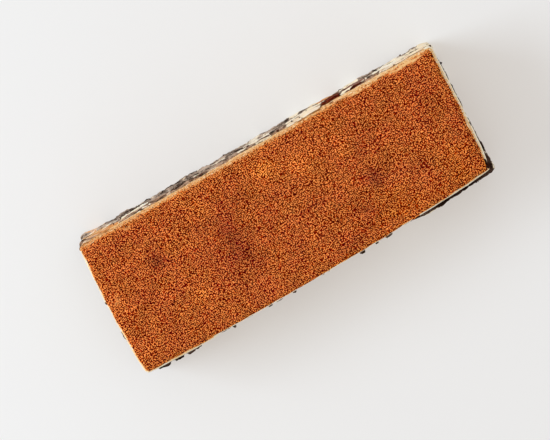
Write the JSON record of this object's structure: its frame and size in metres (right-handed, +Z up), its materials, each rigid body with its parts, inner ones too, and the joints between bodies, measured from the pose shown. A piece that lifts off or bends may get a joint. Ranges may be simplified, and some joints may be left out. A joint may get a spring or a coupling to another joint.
{
  "type": "tiramisu cake slice",
  "caption": "Bar-shaped slice of tiramisu cake, layers of coffee-soaked sponge and mascarpone cream laid in turn under a thick dusting of cocoa.",
  "frame": {"origin": "on the surface the slice stands on, at the middle of its bounding box", "axes": "+X along the slice's length, +Y across it, +Z up"},
  "size_m": [0.1194, 0.046, 0.0421],
  "materials": {
    "sponge": "dark coffee-soaked crumb, moist and porous",
    "cream": "ivory mascarpone cream, soft satin",
    "cocoa": "dry reddish-brown powder, matt and grainy"
  },
  "bodies": {
    "root": {"sponge_base": "sponge", "cream_middle": "cream", "sponge_middle": "sponge", "cream_top": "cream", "cocoa_dusting": "cocoa"}
  },
  "joints": []
}
